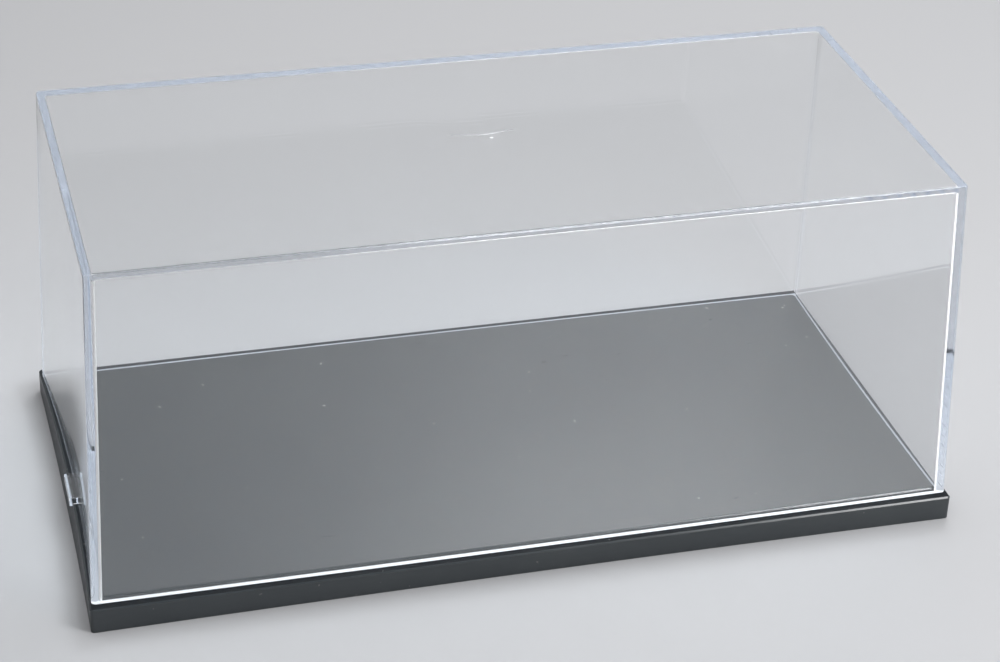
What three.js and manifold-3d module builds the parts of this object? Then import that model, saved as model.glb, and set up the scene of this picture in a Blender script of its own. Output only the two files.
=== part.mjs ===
// A display case for a scale model: a clear moulded cover that stands on a dark moulded base tray.
// Millimetres, +Z up. X runs along the case and Y across it.
// The origin is the middle of the base's underside.
import * as THREE from "three";
import { mergeVertices } from "three/addons/utils/BufferGeometryUtils.js";
import Module from "manifold-3d";

const wasm = await Module();
wasm.setup();

// Overall size.
const CASE_LENGTH = 245;
const CASE_DEPTH = 123.4;
const CASE_HEIGHT = 103.6;

// Base tray: a skirt with a ledge round its top that the cover stands on, and a raised display floor.
// The moulding draws in between its corners as it cools, more at its rim than at its foot.
const LEDGE_HEIGHT = 7.4;
const FLOOR_HEIGHT = 8.3;
const BASE_CORNER_RADIUS = 1;
const RIM_CHAMFER = 0.4;
const FOOT_BOWS = { leftBow: 0.6, rightBow: 0, sideBow: 0.8 };
const RIM_BOWS = { leftBow: 1.8, rightBow: 0, sideBow: 0 };
const SKIRT_WALL = 3;
const FLOOR_PLATE = 2.2;
const RIB_WALL = 1.6;
const RIB_CLEARANCE = 1.2; // the ribs stop this far above the surface that the case stands on
const CELLS_LONG = 4;
const CELLS_DEEP = 2;

// Clear cover: its walls lean in towards the top, so that the moulding leaves its tool.
const COVER_WALL = 2.2;
const END_INSET = 0.75; // from the base's end to the cover's end wall, at the ledge
const SIDE_INSET = 2.45; // from the base's side to the cover's side wall, at the ledge
const END_LEAN = 3.4; // how far an end wall leans in over its height
const SIDE_LEAN = 5.5;
const COVER_CORNER_RADIUS = 1.2;
const COVER_INNER_RADIUS = 0.8;
const COVER_BOWS = { leftBow: 2.4, rightBow: 0.7, sideBow: -0.4 }; // at the open edge, fading out at the top
const COVER_EDGE_CHAMFER = 0.3;
const LEDGE_GAP = 0.05; // between the cover's open edge and the ledge
const PLINTH_CLEARANCE = 0.4; // between the cover's inside and the display floor's edge

// Lifting lug near the middle of the left end of the cover's open edge, for a fingernail.
const LUG_LENGTH = 12.5;
const LUG_OFFSET = 5.8; // from the middle of the end, towards the front
const LUG_HEIGHT = 2.2;
const LUG_SETBACK = 0.6; // from the base's end to the tip
const LUG_DROP = 0.5; // below the cover's open edge, over the base's rim
const LUG_CLEARANCE = 0.3; // between the dropped part and the rim

// Gate mark in the middle of the top panel: a shallow dish with the cut sprue in it, over a pad inside.
const DISH_RADIUS = 4;
const DISH_DEPTH = 0.1;
const NIB_RADIUS = 0.5;
const NIB_HEIGHT = 0.08;
const PAD_SIZE = 20;
const PAD_THICKNESS = 0.15;

const CURVE_DIVISIONS = 8;
const COVER_LEVELS = 5;
const ROUND_SEGMENTS = 28;

const CLEAR_PLASTIC = new THREE.MeshStandardMaterial({
  color: 0xdfe6ee,
  roughness: 0.05,
  metalness: 0,
  transparent: true,
  opacity: 0.3,
});
const DARK_PLASTIC = new THREE.MeshStandardMaterial({ color: 0x24282b, roughness: 0.38, metalness: 0 });

// A rounded rectangle about the origin, whose ends and sides bow towards the centre, most at mid-length.
function outline({ length, depth, radius, leftBow, rightBow, sideBow }) {
  const x = length / 2;
  const y = depth / 2;
  const quarter = Math.PI / 2;
  const path = new THREE.Path();
  path.moveTo(x, radius - y);
  path.quadraticCurveTo(x - 2 * rightBow, 0, x, y - radius);
  path.absarc(x - radius, y - radius, radius, 0, quarter);
  path.quadraticCurveTo(0, y - 2 * sideBow, radius - x, y);
  path.absarc(radius - x, y - radius, radius, quarter, 2 * quarter);
  path.quadraticCurveTo(2 * leftBow - x, 0, -x, radius - y);
  path.absarc(radius - x, radius - y, radius, 2 * quarter, 3 * quarter);
  path.quadraticCurveTo(0, 2 * sideBow - y, x - radius, -y);
  path.absarc(x - radius, radius - y, radius, 3 * quarter, 4 * quarter);
  const points = path.getPoints(CURVE_DIVISIONS);
  const closes = points[0].distanceTo(points[points.length - 1]) < 1e-6;
  return closes ? points.slice(0, -1) : points;
}

// A closed solid through a stack of outlines, given from the lowest to the highest.
function loft(sections) {
  const rings = sections.map(outline);
  const count = rings[0].length;
  const positions = rings.flatMap((ring, level) => ring.flatMap((p) => [p.x, p.y, sections[level].z]));
  const triangles = [];
  for (let level = 0; level + 1 < rings.length; level++) {
    for (let i = 0; i < count; i++) {
      const low = level * count + i;
      const lowNext = level * count + ((i + 1) % count);
      triangles.push(low, lowNext, lowNext + count, low, lowNext + count, low + count);
    }
  }
  const top = (rings.length - 1) * count;
  for (const [a, b, c] of THREE.ShapeUtils.triangulateShape(rings[0], [])) triangles.push(c, b, a);
  for (const [a, b, c] of THREE.ShapeUtils.triangulateShape(rings.at(-1), [])) {
    triangles.push(top + a, top + b, top + c);
  }
  const geometry = new THREE.BufferGeometry();
  geometry.setAttribute("position", new THREE.Float32BufferAttribute(positions, 3));
  geometry.setIndex(triangles);
  return geometry;
}

// A three.js geometry as a solid that can be joined and cut.
function solid(geometry) {
  const bare = geometry.clone();
  bare.deleteAttribute("normal");
  bare.deleteAttribute("uv");
  const merged = mergeVertices(bare);
  return new wasm.Manifold(
    new wasm.Mesh({
      numProp: 3,
      vertProperties: merged.attributes.position.array,
      triVerts: new Uint32Array(merged.index.array),
    }),
  );
}

// A solid as a named mesh.
function mesh(name, shape, material) {
  const data = shape.getMesh();
  const geometry = new THREE.BufferGeometry();
  geometry.setAttribute("position", new THREE.BufferAttribute(new Float32Array(data.vertProperties), 3));
  geometry.setIndex(new THREE.BufferAttribute(new Uint32Array(data.triVerts), 1));
  geometry.computeVertexNormals();
  const made = new THREE.Mesh(geometry, material);
  made.name = name;
  return made;
}

function block(sizeX, sizeY, sizeZ, x, y, z) {
  return solid(new THREE.BoxGeometry(sizeX, sizeY, sizeZ).translate(x, y, z));
}

// A solid turned about the vertical axis from a profile of [radius, height] pairs, lowest first.
function turned(profile) {
  const points = profile.map(([radius, height]) => new THREE.Vector2(radius, height));
  return solid(new THREE.LatheGeometry(points, ROUND_SEGMENTS).rotateX(Math.PI / 2));
}

// The cover's outline at a height, drawn in by the given amount from its outer face.
function coverSection(z, drawnIn, radius) {
  const low = LEDGE_HEIGHT + LEDGE_GAP;
  const rise = Math.min(Math.max((z - low) / (CASE_HEIGHT - low), 0), 1);
  const fade = (1 - rise) ** 2;
  return {
    z,
    length: CASE_LENGTH - 2 * (END_INSET + END_LEAN * rise + drawnIn),
    depth: CASE_DEPTH - 2 * (SIDE_INSET + SIDE_LEAN * rise + drawnIn),
    radius,
    leftBow: COVER_BOWS.leftBow * fade,
    rightBow: COVER_BOWS.rightBow * fade,
    sideBow: COVER_BOWS.sideBow * fade,
  };
}

// The cover's sections from one height to another, evenly spaced.
function coverStack(low, high, drawnIn, radius) {
  const levels = Array.from({ length: COVER_LEVELS + 1 }, (_, i) => low + ((high - low) * i) / COVER_LEVELS);
  return levels.map((z) => coverSection(z, drawnIn, radius));
}

function coverShell() {
  const open = LEDGE_HEIGHT + LEDGE_GAP;
  const shoulder = CASE_HEIGHT - COVER_EDGE_CHAMFER;
  const outer = [
    ...coverStack(open, shoulder, 0, COVER_CORNER_RADIUS),
    coverSection(CASE_HEIGHT, COVER_EDGE_CHAMFER, COVER_CORNER_RADIUS),
  ];
  const inner = [
    { ...coverSection(open, COVER_WALL, COVER_INNER_RADIUS), z: open - 1 },
    ...coverStack(open, CASE_HEIGHT - COVER_WALL, COVER_WALL, COVER_INNER_RADIUS),
  ];
  return solid(loft(outer)).subtract(solid(loft(inner)));
}

// The lug starts inside the bowed end wall. Beyond the base's rim, it reaches down over the rim.
function liftingLug() {
  const end = CASE_LENGTH / 2;
  const root = END_INSET + COVER_BOWS.leftBow + COVER_WALL / 2 - end;
  const tip = LUG_SETBACK - end;
  const rim = RIM_BOWS.leftBow - LUG_CLEARANCE - end;
  const open = LEDGE_HEIGHT + LEDGE_GAP;
  const low = open - LUG_DROP;
  const high = open + LUG_HEIGHT;
  const body = block(root - tip, LUG_LENGTH, high - low, (root + tip) / 2, -LUG_OFFSET, (low + high) / 2);
  const overLedge = block(2 * (root - rim), LUG_LENGTH + 1, 2 * LUG_DROP, root, -LUG_OFFSET, low);
  return body.subtract(overLedge);
}

function gateMark(cover) {
  const dish = turned([
    [0, CASE_HEIGHT - DISH_DEPTH],
    [DISH_RADIUS / 2, CASE_HEIGHT - DISH_DEPTH * 0.75],
    [DISH_RADIUS, CASE_HEIGHT],
    [DISH_RADIUS, CASE_HEIGHT + 1],
    [0, CASE_HEIGHT + 1],
  ]);
  const nib = turned([
    [0, CASE_HEIGHT - 2 * DISH_DEPTH],
    [NIB_RADIUS, CASE_HEIGHT - 2 * DISH_DEPTH],
    [NIB_RADIUS, CASE_HEIGHT - DISH_DEPTH + NIB_HEIGHT],
    [0, CASE_HEIGHT - DISH_DEPTH + NIB_HEIGHT],
  ]);
  const ceiling = CASE_HEIGHT - COVER_WALL;
  const pad = block(PAD_SIZE, PAD_SIZE, 2 * PAD_THICKNESS, 0, 0, ceiling);
  return cover.subtract(dish).add(nib).add(pad);
}

function clearCover() {
  return mesh("clear_cover", gateMark(coverShell().add(liftingLug())), CLEAR_PLASTIC);
}

// The skirt, from the underside up to its chamfered rim.
function skirt() {
  const section = (z, drawnIn, bows) => ({
    z,
    length: CASE_LENGTH - 2 * drawnIn,
    depth: CASE_DEPTH - 2 * drawnIn,
    radius: BASE_CORNER_RADIUS,
    ...bows,
  });
  return solid(
    loft([
      section(0, 0, FOOT_BOWS),
      section(LEDGE_HEIGHT - RIM_CHAMFER, 0, RIM_BOWS),
      section(LEDGE_HEIGHT, RIM_CHAMFER, RIM_BOWS),
    ]),
  );
}

// The display floor stands inside the cover and keeps it from sliding off.
function displayFloor() {
  const drawnIn = COVER_WALL + PLINTH_CLEARANCE;
  const edge = coverSection(LEDGE_HEIGHT, drawnIn, COVER_INNER_RADIUS);
  const top = coverSection(LEDGE_HEIGHT, drawnIn + RIM_CHAMFER, COVER_INNER_RADIUS);
  return solid(
    loft([
      { ...edge, z: LEDGE_HEIGHT - 1 },
      { ...edge, z: FLOOR_HEIGHT - RIM_CHAMFER },
      { ...top, z: FLOOR_HEIGHT },
    ]),
  );
}

// The hollow underside, as one pocket down to the ribs and a cell between each pair of them.
function undersidePockets() {
  const hollowLength = CASE_LENGTH - 2 * SKIRT_WALL;
  const hollowDepth = CASE_DEPTH - 2 * SKIRT_WALL;
  const ceiling = FLOOR_HEIGHT - FLOOR_PLATE;
  const cellLength = (hollowLength - (CELLS_LONG - 1) * RIB_WALL) / CELLS_LONG;
  const cellDepth = (hollowDepth - (CELLS_DEEP - 1) * RIB_WALL) / CELLS_DEEP;
  let pockets = block(hollowLength, hollowDepth, 2 * RIB_CLEARANCE, 0, 0, 0);
  for (let i = 0; i < CELLS_LONG; i++) {
    for (let j = 0; j < CELLS_DEEP; j++) {
      const x = (i - (CELLS_LONG - 1) / 2) * (cellLength + RIB_WALL);
      const y = (j - (CELLS_DEEP - 1) / 2) * (cellDepth + RIB_WALL);
      pockets = pockets.add(block(cellLength, cellDepth, 2 * ceiling, x, y, 0));
    }
  }
  return pockets;
}

function baseTray() {
  const body = skirt().add(displayFloor()).subtract(undersidePockets());
  return mesh("base_tray", body, DARK_PLASTIC);
}

const displayCase = new THREE.Group();
displayCase.add(baseTray(), clearCover());

export default displayCase;
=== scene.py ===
"""Looks for a scale-model display case: a clear moulded cover on a black moulded base tray.

Metres, +Z up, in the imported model's own frame. The camera stands at the front left, looking down at the case.
"""
import math

import bmesh
import bpy
from mathutils import Matrix, Vector


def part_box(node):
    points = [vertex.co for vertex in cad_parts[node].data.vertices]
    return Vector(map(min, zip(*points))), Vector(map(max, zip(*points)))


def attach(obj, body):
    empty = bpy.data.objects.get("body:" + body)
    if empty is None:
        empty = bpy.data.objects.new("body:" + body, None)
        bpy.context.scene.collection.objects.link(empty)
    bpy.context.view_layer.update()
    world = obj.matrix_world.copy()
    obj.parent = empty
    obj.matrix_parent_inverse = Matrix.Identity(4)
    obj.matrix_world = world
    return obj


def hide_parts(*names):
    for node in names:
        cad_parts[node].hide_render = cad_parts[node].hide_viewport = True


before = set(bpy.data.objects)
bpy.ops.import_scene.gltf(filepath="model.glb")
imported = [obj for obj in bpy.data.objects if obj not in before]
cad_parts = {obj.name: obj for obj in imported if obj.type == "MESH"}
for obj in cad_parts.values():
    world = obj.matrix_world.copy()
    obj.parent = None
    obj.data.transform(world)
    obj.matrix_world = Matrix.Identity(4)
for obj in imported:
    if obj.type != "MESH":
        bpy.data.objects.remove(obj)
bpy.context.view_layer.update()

BASE_LOW, BASE_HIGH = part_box("base_tray")
COVER_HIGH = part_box("clear_cover")[1]
MM = 0.001

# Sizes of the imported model.
CASE_LENGTH = BASE_HIGH.x - BASE_LOW.x
CASE_DEPTH = BASE_HIGH.y - BASE_LOW.y
CASE_HEIGHT = COVER_HIGH.z
FLOOR_HEIGHT = BASE_HIGH.z

# Base tray. The moulding draws in between its corners, more at its rim than at its foot.
LEDGE_HEIGHT = 7.4 * MM
BASE_CORNER_RADIUS = 1 * MM
RIM_CHAMFER = 0.4 * MM
FOOT_RADIUS = 0.2 * MM
FLOOR_CHAMFER = 0.35 * MM
FOOT_BOWS = {"left_bow": 0.6 * MM, "right_bow": 0, "side_bow": 0.8 * MM}
RIM_BOWS = {"left_bow": 1.8 * MM, "right_bow": 0, "side_bow": 0}
SKIRT_WALL = 3 * MM
FLOOR_PLATE = 2.2 * MM
RIB_WALL = 1.6 * MM
RIB_CLEARANCE = 1.2 * MM
CELLS_LONG = 4
CELLS_DEEP = 2
POCKET_RADIUS = 0.3 * MM
CELL_RADIUS = 0.6 * MM

# Clear cover.
COVER_WALL = 2.2 * MM
END_INSET = 0.75 * MM
SIDE_INSET = 2.45 * MM
END_LEAN = 3.4 * MM
SIDE_LEAN = 5.5 * MM
COVER_CORNER_RADIUS = 1.2 * MM
COVER_INNER_RADIUS = 0.8 * MM
COVER_TOP_RADIUS = 0.3 * MM
COVER_CEILING_RADIUS = 0.3 * MM
COVER_LIP_RADIUS = 0.12 * MM
COVER_BOWS = {"left_bow": 2.4 * MM, "right_bow": 0.7 * MM, "side_bow": -0.4 * MM}
LEDGE_GAP = 0.05 * MM
PLINTH_CLEARANCE = 0.4 * MM

# Lifting lug near the middle of the left end of the cover's open edge.
LUG_LENGTH = 12.5 * MM
LUG_OFFSET = 5.8 * MM
LUG_HEIGHT = 2.2 * MM
LUG_SETBACK = 0.6 * MM
LUG_DROP = 0.5 * MM
LUG_CLEARANCE = 0.3 * MM
LUG_EDGE_RADIUS = 0.15 * MM

# Gate mark in the middle of the cover's top.
DISH_RADIUS = 4 * MM
DISH_DEPTH = 0.1 * MM
NIB_RADIUS = 0.5 * MM
NIB_HEIGHT = 0.08 * MM
PAD_SIZE = 20 * MM
PAD_CORNER_RADIUS = 3 * MM
PAD_THICKNESS = 0.15 * MM
PAD_SLOPE = 1.5 * MM

# Witness line of the tool's insert, a shallow groove behind the gate that dips towards it.
WITNESS_LENGTH = 18 * MM
WITNESS_SHIFT = -1.7 * MM
WITNESS_OFFSET = 3.7 * MM
WITNESS_DIP = 1.3 * MM
WITNESS_WIDTH = 0.5 * MM
WITNESS_DEPTH = 0.15 * MM
WITNESS_TAPER = 0.7

# How far the solids that cut into the top stand up past it, and how much the dish's one widens above it.
CUTTER_RISE = 1 * MM
CUTTER_FLARE = 1.001

# Material slots of the cover, all for painted light: the open edge, its paler front with the gate mark, and the
# inside front corners.
LIP = 1
LIP_FRONT = 2
INNER_CORNER = 3

# Material slots of the base: the skirt and the chamfered edges carry painted light, the ledge painted shade.
SKIRT = 1
LEDGE = 2
EDGE = 3

# Black plastic of the base. Skirt and chamfered edges are painted paler as painted light, the ledge darker as
# painted shade.
BASE_IOR = 1.55
DUST_COLOUR = (0.35, 0.35, 0.34, 1)
BASE_FINISHES_AND_PAINTED_SHADING = {
    # name: (darkest, palest, least rough, most rough, specular level), in the order of the slots
    "black_floor": ((0.024, 0.029, 0.033), (0.034, 0.040, 0.043), 0.26, 0.42, 0.5),
    # painted light: the skirt is paler than the floor's own black
    "black_skirt_painted_light": ((0.036, 0.043, 0.049), (0.050, 0.058, 0.063), 0.40, 0.55, 0.5),
    # painted shade: the ledge is darker and duller than the floor's own black
    "black_ledge_painted_shade": ((0.012, 0.014, 0.017), (0.017, 0.020, 0.023), 0.60, 0.75, 0.08),
    # painted light: the chamfered edges are paler than the floor's own black
    "black_edge_painted_light": ((0.034, 0.041, 0.046), (0.046, 0.053, 0.057), 0.18, 0.28, 0.5),
}

# Clear plastic of the cover, and its painted pale parts: a painted glow on the open edge and painted
# highlights.
COVER_IOR = 1.57
CLEAR_COLOUR = (0.985, 0.99, 0.995, 1)
CLEAR_SHADOW = (0.93, 0.945, 0.955, 1)
CLEAR_DEPTH_COLOUR = (0.48, 0.56, 0.68, 1)
CLEAR_DEPTH_DENSITY = 4
# Near-opaque white in the inside front corners, a painted highlight.
CORNER_HIGHLIGHT_COLOUR = (0.95, 0.95, 0.96, 1)
CORNER_HIGHLIGHT_TRANSMISSION = 0.05
FROSTED_ROUGHNESS = 0.7
PAINTED_EDGE_LIGHT = {
    # name: (darkest, palest), in the order of the slots
    # painted glow on the open edge, standing for light piped down the walls
    "edge_painted_glow": ((0.36, 0.385, 0.43), (0.44, 0.465, 0.51)),
    # painted highlight: the front of the open edge is paler still
    "front_edge_painted_highlight": ((0.70, 0.73, 0.76), (0.80, 0.82, 0.84)),
}

# How a face's slot is told. A facing is the upward part of the face's normal, and the rest are distances.
TOUCHING = 0.01 * MM
ON_LEDGE = 0.1 * MM
LUG_SEAM = 0.2 * MM
INNER_SIDE = 0.8 * COVER_WALL
UPRIGHT_FACING = 0.2
LEVEL_FACING = 0.95
CHAMFER_FACING = (0.4, 0.9)

# A rounded corner's face points at least this much along X and along Y.
CORNER_SLANT = 0.1

# How finely outlines, fillets and turned shapes are drawn.
CORNER_STEPS = 6
SIDE_STEPS = 14
FILLET_STEPS = 5
SMALL_FILLET_STEPS = 3
WALL_STEPS = 10
DISH_STEPS = 8
DISH_SIDES = 48
NIB_SIDES = 32
WITNESS_STEPS = 24
SHARP_ANGLE = math.radians(32)
FLAT_FACE_WEIGHT = 100

# Camera.
CAMERA_AZIMUTH = math.radians(-16.2204)
CAMERA_ELEVATION = math.radians(30.7938)
CAMERA_ROLL = math.radians(2.152)
CAMERA_DISTANCE = 0.74298
CAMERA_SLIDE = Vector((4.3204 * MM, 36.0169 * MM))
CAMERA_LENS = 90.448
SENSOR_WIDTH = 36.0
CAMERA_NEAR = 0.01

# The sheet that the case stands on.
PAPER_REACH = 6
PAPER_COLOUR = (0.468, 0.472, 0.486, 1)
PAPER_ROUGHNESS = 0.9
PAPER_SPECULAR = 0.2

# Light.
BRIGHT_SIDE = (0.6, 0.7, 0.45)
ROOM_COLOUR = (0.985, 0.99, 1.0, 1)
ROOM_DARK = 0.09
ROOM_BRIGHT = 0.55
ROOM_FADE = (-0.3, 1.0)
SOFTBOXES = {
    # name: (place, size, power)
    "overhead": ((0.0, -0.04, 0.8), (1.3, 1.0), 5.0),
    "back_right": ((0.39, 0.67, 0.78), (0.5, 0.35), 3.4),
    "right_high": ((0.5, -0.5, 0.62), (0.3, 0.3), 3.6),
    "right_low": ((0.8, -0.55, 0.32), (0.35, 0.35), 1.7),
}
WALL_BOUNCES = 64
TRANSPARENT_BOUNCES = 24


# ---------------------------------------------------------------- mesh tools


def arc(centre, radius, start, end, steps=FILLET_STEPS):
    """Points along an arc, from one angle in degrees to another."""
    angles = [math.radians(start + (end - start) * i / steps) for i in range(steps + 1)]
    return [(centre[0] + radius * math.cos(a), centre[1] + radius * math.sin(a)) for a in angles]


def outline(length, depth, radius, left_bow, right_bow, side_bow):
    """A rounded rectangle, anticlockwise, whose ends and sides bow towards the centre, most at mid-length."""
    x = length / 2 - radius
    y = depth / 2 - radius
    corners = [(x, y, 0), (-x, y, 90), (-x, -y, 180), (x, -y, 270)]
    inward = [Vector((0, -1)), Vector((1, 0)), Vector((0, 1)), Vector((-1, 0))]
    bows = [side_bow, left_bow, side_bow, right_bow]
    arcs = []
    for cx, cy, start in corners:
        arcs.append([Vector(p) for p in arc((cx, cy), radius, start, start + 90, CORNER_STEPS)])
    points = []
    for i in range(4):
        points += arcs[i]
        a = arcs[i][-1]
        b = arcs[(i + 1) % 4][0]
        for k in range(1, SIDE_STEPS):
            t = k / SIDE_STEPS
            points.append(a.lerp(b, t) + inward[i] * bows[i] * 4 * t * (1 - t))
    return points


def ring(height, **shape):
    """An outline at a height."""
    return [Vector((p.x, p.y, height)) for p in outline(**shape)]


def skin(name, rings):
    """A closed mesh through a stack of rings, with a flat face over the first and the last."""
    bm = bmesh.new()
    loops = [[bm.verts.new(p) for p in points] for points in rings]
    count = len(loops[0])
    for low, high in zip(loops, loops[1:]):
        for i in range(count):
            j = (i + 1) % count
            bm.faces.new((low[i], low[j], high[j], high[i]))
    bm.faces.new(list(reversed(loops[0])))
    bm.faces.new(loops[-1])
    bmesh.ops.recalc_face_normals(bm, faces=bm.faces)
    return as_object(name, bm)


def as_object(name, bm):
    """Turns a bmesh into an object of the scene."""
    mesh = bpy.data.meshes.new(name)
    bm.to_mesh(mesh)
    bm.free()
    made = bpy.data.objects.new(name, mesh)
    bpy.context.scene.collection.objects.link(made)
    return made


def rounded_block(low, high, radius):
    """A box between two corners with every edge rounded."""
    bm = bmesh.new()
    bmesh.ops.create_cube(bm, size=1)
    stretch = Matrix.Diagonal((*(high - low), 1))
    bmesh.ops.transform(bm, matrix=Matrix.Translation((low + high) / 2) @ stretch, verts=bm.verts)
    bmesh.ops.bevel(
        bm, geom=bm.edges[:], offset=radius, segments=SMALL_FILLET_STEPS, profile=0.5, affect="EDGES"
    )
    return as_object("block", bm)


def turned(profile, sides):
    """A closed solid turned about the vertical axis.

    The profile is (radius, height) pairs, with its two ends on the axis.
    """
    bm = bmesh.new()
    angles = [2 * math.pi * i / sides for i in range(sides)]
    rings = []
    for radius, height in profile[1:-1]:
        rings.append([bm.verts.new((radius * math.cos(a), radius * math.sin(a), height)) for a in angles])
    ends = [bm.verts.new((0, 0, profile[0][1])), bm.verts.new((0, 0, profile[-1][1]))]
    for i in range(sides):
        j = (i + 1) % sides
        bm.faces.new((ends[0], rings[0][i], rings[0][j]))
        bm.faces.new((ends[1], rings[-1][j], rings[-1][i]))
        for low, high in zip(rings, rings[1:]):
            bm.faces.new((low[i], high[i], high[j], low[j]))
    bmesh.ops.recalc_face_normals(bm, faces=bm.faces)
    return as_object("turned", bm)


def combine(piece, tool, operation):
    """Cuts or joins a tool object into a piece, and removes the tool."""
    modifier = piece.modifiers.new("combine", "BOOLEAN")
    modifier.operation = operation
    modifier.object = tool
    modifier.solver = "EXACT"
    depsgraph = bpy.context.evaluated_depsgraph_get()
    mesh = bpy.data.meshes.new_from_object(piece.evaluated_get(depsgraph))
    piece.modifiers.clear()
    piece.data = mesh
    bpy.data.objects.remove(tool)


def smooth(piece):
    """Smooth shading over all but the sharp edges, with large faces kept flat."""
    piece.data.shade_smooth()
    piece.data.set_sharp_from_angle(angle=SHARP_ANGLE)
    weighted = piece.modifiers.new("flat_faces", "WEIGHTED_NORMAL")
    weighted.keep_sharp = True
    weighted.weight = FLAT_FACE_WEIGHT


# ---------------------------------------------------------------- the cover


def cover_ring(height, drawn_in, radius):
    """The cover's outline at a height, drawn in from its outer face."""
    low = LEDGE_HEIGHT + LEDGE_GAP
    rise = min(max((height - low) / (CASE_HEIGHT - low), 0), 1)
    fade = (1 - rise) ** 2
    return ring(
        height,
        length=CASE_LENGTH - 2 * (END_INSET + END_LEAN * rise + drawn_in),
        depth=CASE_DEPTH - 2 * (SIDE_INSET + SIDE_LEAN * rise + drawn_in),
        radius=radius,
        **{side: bow * fade for side, bow in COVER_BOWS.items()},
    )


def between(low, high):
    """Heights along a wall, without its two ends."""
    return [low + (high - low) * i / WALL_STEPS for i in range(1, WALL_STEPS)]


def cover_shell():
    """The cover as one skin, from the middle of its top down its outside and up its inside to its ceiling."""
    lip = LEDGE_HEIGHT + LEDGE_GAP
    ceiling = CASE_HEIGHT - COVER_WALL
    r = COVER_TOP_RADIUS
    c = COVER_CEILING_RADIUS
    e = COVER_LIP_RADIUS
    outside = arc((r, CASE_HEIGHT - r), r, 90, 180)
    outside += [(0, z) for z in between(CASE_HEIGHT - r, lip + e)]
    outside += arc((e, lip + e), e, 180, 270, SMALL_FILLET_STEPS)
    inside = arc((COVER_WALL - e, lip + e), e, 270, 360, SMALL_FILLET_STEPS)
    inside += [(COVER_WALL, z) for z in between(lip + e, ceiling - c)]
    inside += [(2 * COVER_WALL + c - d, z) for d, z in arc((COVER_WALL, ceiling - c), c, 0, 90)]
    rings = [cover_ring(z, d, COVER_CORNER_RADIUS) for d, z in outside]
    rings += [cover_ring(z, d, COVER_INNER_RADIUS + max(d - COVER_WALL, 0)) for d, z in inside]
    return skin("clear_cover_moulding", rings)


def lifting_lug():
    """The lug starts inside the bowed end wall. Beyond the base's rim, it reaches down over the rim."""
    end = CASE_LENGTH / 2
    lip = LEDGE_HEIGHT + LEDGE_GAP
    root = END_INSET + COVER_BOWS["left_bow"] + COVER_WALL / 2 - end
    tip = LUG_SETBACK - end
    rim = RIM_BOWS["left_bow"] - LUG_CLEARANCE - end
    front = -LUG_OFFSET - LUG_LENGTH / 2
    back = -LUG_OFFSET + LUG_LENGTH / 2
    high = lip + LUG_HEIGHT
    lug = rounded_block(Vector((tip, front, lip)), Vector((root, back, high)), LUG_EDGE_RADIUS)
    drop = rounded_block(Vector((tip, front, lip - LUG_DROP)), Vector((rim, back, high)), LUG_EDGE_RADIUS)
    combine(lug, drop, "UNION")
    return lug


def gate_dish():
    """The shallow dish round the gate, as a solid to cut with."""
    top = CASE_HEIGHT
    profile = [(0, top - DISH_DEPTH)]
    for i in range(1, DISH_STEPS + 1):
        t = i / DISH_STEPS
        profile.append((DISH_RADIUS * t, top - DISH_DEPTH * (1 - t * t) ** 2))
    profile += [(DISH_RADIUS * CUTTER_FLARE, top + CUTTER_RISE), (0, top + CUTTER_RISE)]
    return turned(profile, DISH_SIDES)


def gate_nib():
    """The stub of the gate, rooted below the bottom of its dish."""
    low = CASE_HEIGHT - 2 * DISH_DEPTH
    high = CASE_HEIGHT - DISH_DEPTH + NIB_HEIGHT
    return turned([(0, low), (NIB_RADIUS, low), (NIB_RADIUS, high), (0, high)], NIB_SIDES)


def gate_pad():
    """The slightly thicker pad on the ceiling below the gate, with sloping sides."""
    ceiling = CASE_HEIGHT - COVER_WALL
    flat = {"left_bow": 0, "right_bow": 0, "side_bow": 0}
    rings = []
    levels = [(PAD_SLOPE, ceiling - PAD_THICKNESS), (0, ceiling), (0, ceiling + COVER_WALL / 2)]
    for drawn_in, z in levels:
        side = PAD_SIZE - 2 * drawn_in
        rings.append(ring(z, length=side, depth=side, radius=PAD_CORNER_RADIUS, **flat))
    return skin("gate_pad", rings)


def witness_groove():
    """The witness line as a solid to cut with. It narrows towards both ends."""
    low = CASE_HEIGHT - WITNESS_DEPTH
    high = CASE_HEIGHT + CUTTER_RISE
    bm = bmesh.new()
    loops = []
    for i in range(WITNESS_STEPS + 1):
        t = 2 * i / WITNESS_STEPS - 1
        x = WITNESS_SHIFT + t * WITNESS_LENGTH / 2
        y = WITNESS_OFFSET - WITNESS_DIP * math.cos(math.pi * t / 2) ** 2
        half = WITNESS_WIDTH / 2 * (1 - WITNESS_TAPER * t * t)
        corners = [(y - half, high), (y - half, low), (y + half, low), (y + half, high)]
        loops.append([bm.verts.new((x, py, pz)) for py, pz in corners])
    for a, b in zip(loops, loops[1:]):
        for k in range(4):
            bm.faces.new((a[k], a[(k + 1) % 4], b[(k + 1) % 4], b[k]))
    bm.faces.new(loops[0])
    bm.faces.new(list(reversed(loops[-1])))
    bmesh.ops.recalc_face_normals(bm, faces=bm.faces)
    return as_object("witness_groove", bm)


def clear_cover():
    """The whole cover, as one solid."""
    piece = cover_shell()
    combine(piece, lifting_lug(), "UNION")
    combine(piece, gate_dish(), "DIFFERENCE")
    combine(piece, witness_groove(), "DIFFERENCE")
    combine(piece, gate_nib(), "UNION")
    combine(piece, gate_pad(), "UNION")
    smooth(piece)
    return piece


def on_lug(x, y):
    """Whether a place on the cover's underside is on the lug, clear of the end wall."""
    wall_foot = END_INSET + COVER_BOWS["left_bow"] - CASE_LENGTH / 2
    return x < wall_foot + LUG_SEAM and abs(y + LUG_OFFSET) < LUG_LENGTH / 2 + TOUCHING


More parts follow.
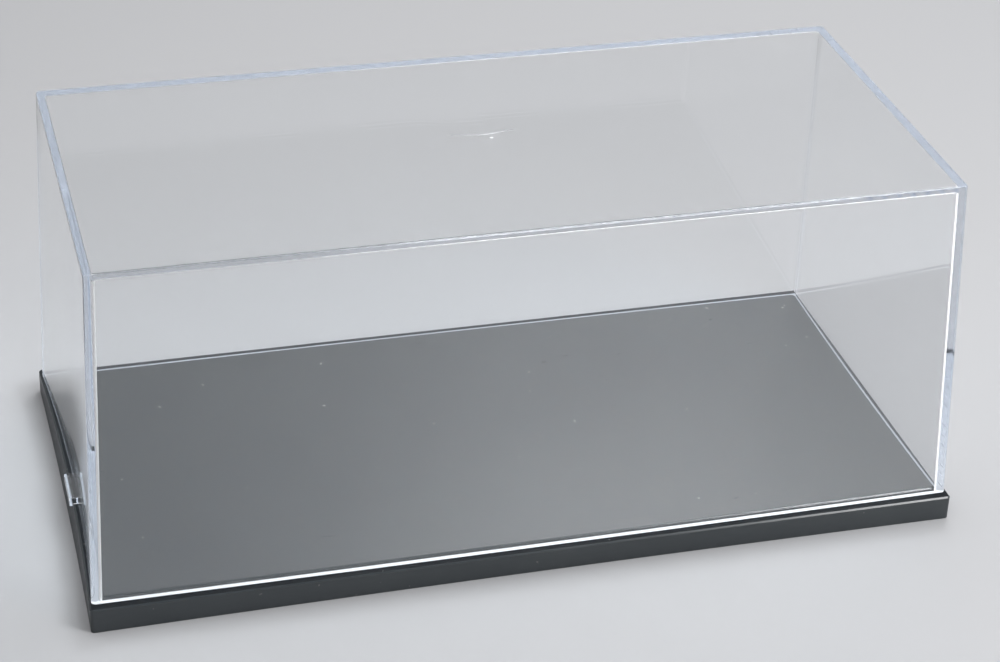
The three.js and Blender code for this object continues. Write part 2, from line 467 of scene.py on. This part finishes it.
def painted_light_slot(face):
    """The slot of a face whose light is painted: on the open edge, an inside front corner or the gate mark; or
    0.
    """
    lip = LEDGE_HEIGHT + LEDGE_GAP
    x, y, z = face.center
    nx, ny, nz = face.normal
    near_lip = z < lip + COVER_LIP_RADIUS
    facing_down = nz < -UPRIGHT_FACING
    # On the lug only the drop's underside takes the painted glow.
    if on_lug(x, y) and near_lip:
        return LIP if facing_down and z < lip - LUG_DROP / 2 else 0
    # The open edge takes the painted glow, and at the front the paler painted highlight.
    if facing_down and near_lip:
        return LIP_FRONT if y < -CASE_DEPTH / 2 + SIDE_INSET + 2 * COVER_WALL else LIP
    rise = (z - lip) / (CASE_HEIGHT - lip)
    from_end = CASE_LENGTH / 2 - END_INSET - END_LEAN * rise - abs(x)
    inside = from_end > INNER_SIDE and abs(x) > CASE_LENGTH / 4
    rounded = abs(nz) < UPRIGHT_FACING and min(abs(nx), abs(ny)) > CORNER_SLANT
    # The inside front corners take near-opaque white, a painted highlight.
    if rounded and inside and y < 0:
        return INNER_CORNER
    # The groove floor and the nib top take the paler shade: painted highlights.
    in_groove = abs(z - CASE_HEIGHT + WITNESS_DEPTH) < TOUCHING
    on_nib = abs(z - CASE_HEIGHT + DISH_DEPTH - NIB_HEIGHT) < TOUCHING and math.hypot(x, y) < NIB_RADIUS
    return LIP_FRONT if nz > LEVEL_FACING and (in_groove or on_nib) else 0


def painted_light_parts(piece):
    """Gives each face of the cover its material slot, with painted light on its open edge, inside front corners
    and gate mark.
    """
    for face in piece.data.polygons:
        face.material_index = painted_light_slot(face)


# ---------------------------------------------------------------- the base


def base_ring(height, drawn_in):
    """The skirt's outline at a height. Its left end leans in, because it bows more at the rim."""
    rise = height / LEDGE_HEIGHT
    return ring(
        height,
        length=CASE_LENGTH - 2 * drawn_in,
        depth=CASE_DEPTH - 2 * drawn_in,
        radius=BASE_CORNER_RADIUS - drawn_in,
        **{side: FOOT_BOWS[side] + (RIM_BOWS[side] - FOOT_BOWS[side]) * rise for side in FOOT_BOWS},
    )


def plinth_ring(height, drawn_in):
    """The display floor follows the inside of the cover's open edge, whatever its height."""
    plinth = COVER_WALL + PLINTH_CLEARANCE
    points = cover_ring(LEDGE_HEIGHT, plinth + drawn_in, COVER_INNER_RADIUS + drawn_in)
    return [Vector((p.x, p.y, height)) for p in points]


def base_shell():
    """The base as one skin, from its foot up the skirt, over the ledge and up to the display floor."""
    f = FOOT_RADIUS
    r = RIM_CHAMFER
    e = FLOOR_CHAMFER
    skirt = arc((f, f), f, 270, 180, SMALL_FILLET_STEPS)
    skirt += [(0, LEDGE_HEIGHT - r), (r, LEDGE_HEIGHT)]
    floor_edge = [(0, LEDGE_HEIGHT), (0, FLOOR_HEIGHT - e), (e, FLOOR_HEIGHT)]
    rings = [base_ring(z, d) for d, z in skirt]
    rings += [plinth_ring(z, d) for d, z in floor_edge]
    return skin("base_tray_moulding", rings)


def underside_cutters():
    """The hollow under the floor, as one shallow pocket down to the ribs and a cell between each pair."""
    length = CASE_LENGTH - 2 * SKIRT_WALL
    depth = CASE_DEPTH - 2 * SKIRT_WALL
    ceiling = FLOOR_HEIGHT - FLOOR_PLATE
    cell_length = (length - (CELLS_LONG - 1) * RIB_WALL) / CELLS_LONG
    cell_depth = (depth - (CELLS_DEEP - 1) * RIB_WALL) / CELLS_DEEP
    corner = Vector((length / 2, depth / 2, RIB_CLEARANCE))
    yield rounded_block(-corner, corner, POCKET_RADIUS)
    for i in range(CELLS_LONG):
        for j in range(CELLS_DEEP):
            x = (i - (CELLS_LONG - 1) / 2) * (cell_length + RIB_WALL)
            y = (j - (CELLS_DEEP - 1) / 2) * (cell_depth + RIB_WALL)
            half = Vector((cell_length / 2, cell_depth / 2, ceiling))
            middle = Vector((x, y, 0))
            yield rounded_block(middle - half, middle + half, CELL_RADIUS)


def base_tray():
    """The whole base, as one solid."""
    piece = base_shell()
    for cutter in underside_cutters():
        combine(piece, cutter, "DIFFERENCE")
    smooth(piece)
    return piece


def base_parts(piece):
    """Gives the skirt, the ledge and the two chamfered edges their own material slots, for the base's painted
    light and shade.
    """
    steepest, flattest = CHAMFER_FACING
    for face in piece.data.polygons:
        z = face.center.z
        up = face.normal.z
        if steepest < up < flattest and z > LEDGE_HEIGHT - RIM_CHAMFER:
            face.material_index = EDGE
        elif up > flattest and abs(z - LEDGE_HEIGHT) < ON_LEDGE:
            face.material_index = LEDGE
        elif z < LEDGE_HEIGHT:
            face.material_index = SKIRT


# ---------------------------------------------------------------- materials


def new_material(name):
    """A material with its nodes, its links and its shader."""
    material = bpy.data.materials.new(name)
    material.use_nodes = True
    nodes = material.node_tree.nodes
    return material, nodes, material.node_tree.links, nodes["Principled BSDF"]


def noise(nodes, links, coords, scale, detail, roughness=0.5, stretch=(1, 1, 1)):
    """A noise from 0 to 1 over the object's own coordinates, which are in metres."""
    mapping = nodes.new("ShaderNodeMapping")
    mapping.inputs["Scale"].default_value = stretch
    links.new(coords, mapping.inputs["Vector"])
    texture = nodes.new("ShaderNodeTexNoise")
    texture.inputs["Scale"].default_value = scale
    texture.inputs["Detail"].default_value = detail
    texture.inputs["Roughness"].default_value = roughness
    links.new(mapping.outputs["Vector"], texture.inputs["Vector"])
    return texture.outputs["Fac"]


def spread(nodes, links, value, low, high, start=0.0, end=1.0):
    """A value from start..end mapped to low..high."""
    node = nodes.new("ShaderNodeMapRange")
    node.inputs["From Min"].default_value = start
    node.inputs["From Max"].default_value = end
    node.inputs["To Min"].default_value = low
    node.inputs["To Max"].default_value = high
    links.new(value, node.inputs["Value"])
    return node.outputs["Result"]


def shades(nodes, links, value, dark, pale, start=0.0, end=1.0):
    """A colour from dark to pale, as a value goes from start to end."""
    node = nodes.new("ShaderNodeValToRGB")
    darkest, palest = node.color_ramp.elements
    darkest.position, darkest.color = start, (*dark, 1)
    palest.position, palest.color = end, (*pale, 1)
    links.new(value, node.inputs["Fac"])
    return node.outputs["Color"]


def bump(nodes, links, height, strength, distance, below=None):
    """A normal tilted by a height from 0 to 1 that stands for a distance, over the normal below it."""
    node = nodes.new("ShaderNodeBump")
    node.inputs["Strength"].default_value = strength
    node.inputs["Distance"].default_value = distance
    links.new(height, node.inputs["Height"])
    if below is not None:
        links.new(below, node.inputs["Normal"])
    return node.outputs["Normal"]


def painted_edge_material(name, dark, pale):
    """Pale frosted faces on the open edge, groove floor and nib top: painted glow and highlights. The walls
    pipe the view down to the open edge.
    """
    material, nodes, links, shader = new_material(name)
    coords = nodes.new("ShaderNodeTexCoord").outputs["Object"]
    grit = noise(nodes, links, coords, scale=1500, detail=3, roughness=0.6)
    links.new(shades(nodes, links, grit, dark, pale), shader.inputs["Base Color"])
    shader.inputs["Roughness"].default_value = FROSTED_ROUGHNESS
    rough = bump(nodes, links, grit, strength=0.3, distance=0.02 * MM)
    links.new(rough, shader.inputs["Normal"])
    return material


def corner_painted_highlight():
    """Near-opaque white inside the two front corners, a painted highlight that shows as a thin pale line."""
    material, nodes, links, shader = new_material("corner_painted_highlight")
    coords = nodes.new("ShaderNodeTexCoord").outputs["Object"]
    grit = noise(nodes, links, coords, scale=900, detail=3, roughness=0.6)
    shader.inputs["Base Color"].default_value = CORNER_HIGHLIGHT_COLOUR
    shader.inputs["Transmission Weight"].default_value = CORNER_HIGHLIGHT_TRANSMISSION
    shader.inputs["IOR"].default_value = COVER_IOR
    links.new(spread(nodes, links, grit, low=0.35, high=0.55), shader.inputs["Roughness"])
    return material


def clear_plastic():
    """Water-clear polystyrene: clear across its thickness, faintly blue along its length, a little wavy."""
    material, nodes, links, shader = new_material("clear_polystyrene")
    shader.inputs["Base Color"].default_value = CLEAR_COLOUR
    shader.inputs["Transmission Weight"].default_value = 1
    shader.inputs["IOR"].default_value = COVER_IOR
    coords = nodes.new("ShaderNodeTexCoord").outputs["Object"]
    film = noise(nodes, links, coords, scale=18, detail=6, roughness=0.6)
    haze = spread(nodes, links, film, low=0.0, high=0.09, start=0.45, end=0.8)
    links.new(haze, shader.inputs["Roughness"])
    flow = noise(nodes, links, coords, scale=22, detail=1.5, roughness=0.4)
    wave = bump(nodes, links, flow, strength=0.25, distance=0.12 * MM)
    links.new(wave, shader.inputs["Normal"])

    # Shadow rays go straight through, so the cover casts only a faint shadow.
    see_through = nodes.new("ShaderNodeBsdfTransparent")
    see_through.inputs["Color"].default_value = CLEAR_SHADOW
    path = nodes.new("ShaderNodeLightPath")
    mix = nodes.new("ShaderNodeMixShader")
    links.new(path.outputs["Is Shadow Ray"], mix.inputs["Fac"])
    links.new(shader.outputs["BSDF"], mix.inputs[1])
    links.new(see_through.outputs["BSDF"], mix.inputs[2])
    output = nodes["Material Output"]
    links.new(mix.outputs["Shader"], output.inputs["Surface"])

    depth_tint = nodes.new("ShaderNodeVolumeAbsorption")
    depth_tint.inputs["Color"].default_value = CLEAR_DEPTH_COLOUR
    depth_tint.inputs["Density"].default_value = CLEAR_DEPTH_DENSITY
    links.new(depth_tint.outputs["Volume"], output.inputs["Volume"])
    return material


def dark_plastic(name, dark, pale, glossy, matt, specular):
    """Black moulded plastic with fine scuffs, faint flow marks and a little dust."""
    material, nodes, links, shader = new_material(name)
    shader.inputs["IOR"].default_value = BASE_IOR
    shader.inputs["Specular IOR Level"].default_value = specular
    coords = nodes.new("ShaderNodeTexCoord").outputs["Object"]
    cloud = noise(nodes, links, coords, scale=14, detail=5, roughness=0.6)
    grain = noise(nodes, links, coords, scale=2600, detail=2)
    scuffs = noise(nodes, links, coords, scale=120, detail=6, roughness=0.7, stretch=(1, 6, 6))
    specks = noise(nodes, links, coords, scale=420, detail=2)

    dusty = nodes.new("ShaderNodeMix")
    dusty.data_type = "RGBA"
    dust = spread(nodes, links, specks, low=0, high=0.5, start=0.73, end=0.8)
    links.new(dust, dusty.inputs["Factor"])
    links.new(shades(nodes, links, cloud, dark, pale, start=0.3, end=0.75), dusty.inputs["A"])
    dusty.inputs["B"].default_value = DUST_COLOUR
    links.new(dusty.outputs["Result"], shader.inputs["Base Color"])

    worn = spread(nodes, links, scuffs, low=glossy, high=matt, start=0.3, end=0.7)
    links.new(worn, shader.inputs["Roughness"])
    fine = bump(nodes, links, grain, strength=0.18, distance=0.03 * MM)
    coarse = bump(nodes, links, scuffs, strength=0.10, distance=0.03 * MM, below=fine)
    links.new(coarse, shader.inputs["Normal"])
    return material


def paper():
    """The plain pale sheet that the case stands on."""
    material, nodes, links, shader = new_material("pale_floor")
    coords = nodes.new("ShaderNodeTexCoord").outputs["Object"]
    shader.inputs["Base Color"].default_value = PAPER_COLOUR
    shader.inputs["Roughness"].default_value = PAPER_ROUGHNESS
    shader.inputs["Specular IOR Level"].default_value = PAPER_SPECULAR
    tooth = noise(nodes, links, coords, scale=900, detail=3)
    links.new(bump(nodes, links, tooth, strength=0.05, distance=0.02 * MM), shader.inputs["Normal"])
    return material


# ---------------------------------------------------------------- stage


def make_floor():
    """One wide flat sheet under the case."""
    bm = bmesh.new()
    bmesh.ops.create_grid(bm, x_segments=1, y_segments=1, size=PAPER_REACH)
    floor = as_object("floor", bm)
    floor.data.materials.append(paper())


def make_camera():
    """Aimed at the middle of the case's foot, then slid to its own right and up, and rolled a little."""
    back = Vector((
        math.sin(CAMERA_AZIMUTH) * math.cos(CAMERA_ELEVATION),
        -math.cos(CAMERA_AZIMUTH) * math.cos(CAMERA_ELEVATION),
        math.sin(CAMERA_ELEVATION),
    ))
    right = (-back).cross(Vector((0, 0, 1))).normalized()
    up = right.cross(-back)
    place = back * CAMERA_DISTANCE + right * CAMERA_SLIDE.x + up * CAMERA_SLIDE.y
    turn = Matrix((right, up, back)).transposed().to_4x4() @ Matrix.Rotation(CAMERA_ROLL, 4, "Z")
    data = bpy.data.cameras.new("camera")
    data.lens = CAMERA_LENS
    data.sensor_width = SENSOR_WIDTH
    data.clip_start = CAMERA_NEAR
    camera = bpy.data.objects.new("camera", data)
    camera.matrix_world = Matrix.Translation(place) @ turn
    bpy.context.scene.collection.objects.link(camera)
    bpy.context.scene.camera = camera


def softbox(name, place, size, power):
    """A soft white rectangle of light, aimed at the middle of the case's foot."""
    data = bpy.data.lights.new(name, "AREA")
    data.shape = "RECTANGLE"
    data.size, data.size_y = size
    data.energy = power
    lamp = bpy.data.objects.new(name, data)
    lamp.location = place
    lamp.rotation_euler = Vector(place).to_track_quat("Z", "Y").to_euler()
    bpy.context.scene.collection.objects.link(lamp)


def make_world():
    """A dim room, darkest at the front left and brightest at the back right, high up."""
    world = bpy.data.worlds.new("studio")
    world.use_nodes = True
    nodes = world.node_tree.nodes
    links = world.node_tree.links
    facing = nodes.new("ShaderNodeVectorMath")
    facing.operation = "DOT_PRODUCT"
    facing.inputs[1].default_value = Vector(BRIGHT_SIDE).normalized()
    links.new(nodes.new("ShaderNodeTexCoord").outputs["Generated"], facing.inputs[0])
    strength = nodes.new("ShaderNodeMapRange")
    strength.interpolation_type = "SMOOTHSTEP"
    strength.inputs["From Min"].default_value = ROOM_FADE[0]
    strength.inputs["From Max"].default_value = ROOM_FADE[1]
    strength.inputs["To Min"].default_value = ROOM_DARK
    strength.inputs["To Max"].default_value = ROOM_BRIGHT
    links.new(facing.outputs["Value"], strength.inputs["Value"])
    background = nodes["Background"]
    background.inputs["Color"].default_value = ROOM_COLOUR
    links.new(strength.outputs["Result"], background.inputs["Strength"])
    bpy.context.scene.world = world


def make_lights():
    make_world()
    for name, (place, size, power) in SOFTBOXES.items():
        softbox(name, place, size, power)


def light_paths():
    """Light piped along the clear walls bounces many times before it leaves at an edge."""
    cycles = bpy.context.scene.cycles
    cycles.max_bounces = WALL_BOUNCES
    cycles.glossy_bounces = WALL_BOUNCES
    cycles.transmission_bounces = WALL_BOUNCES
    cycles.transparent_max_bounces = TRANSPARENT_BOUNCES


def view_settings():
    """Colours shown as they are, with no film curve."""
    settings = bpy.context.scene.view_settings
    settings.view_transform = "Standard"
    settings.look = "None"


# ---------------------------------------------------------------- scene

make_camera()
view_settings()
light_paths()
make_lights()
make_floor()

base = base_tray()
for name, finish_and_painted_light in BASE_FINISHES_AND_PAINTED_SHADING.items():
    base.data.materials.append(dark_plastic(name, *finish_and_painted_light))
base_parts(base)
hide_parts("base_tray")
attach(base, "base")

cover = clear_cover()
cover.data.materials.append(clear_plastic())
for name, finish_and_painted_light in PAINTED_EDGE_LIGHT.items():
    cover.data.materials.append(painted_edge_material(name, *finish_and_painted_light))
cover.data.materials.append(corner_painted_highlight())
painted_light_parts(cover)
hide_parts("clear_cover")
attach(cover, "cover")
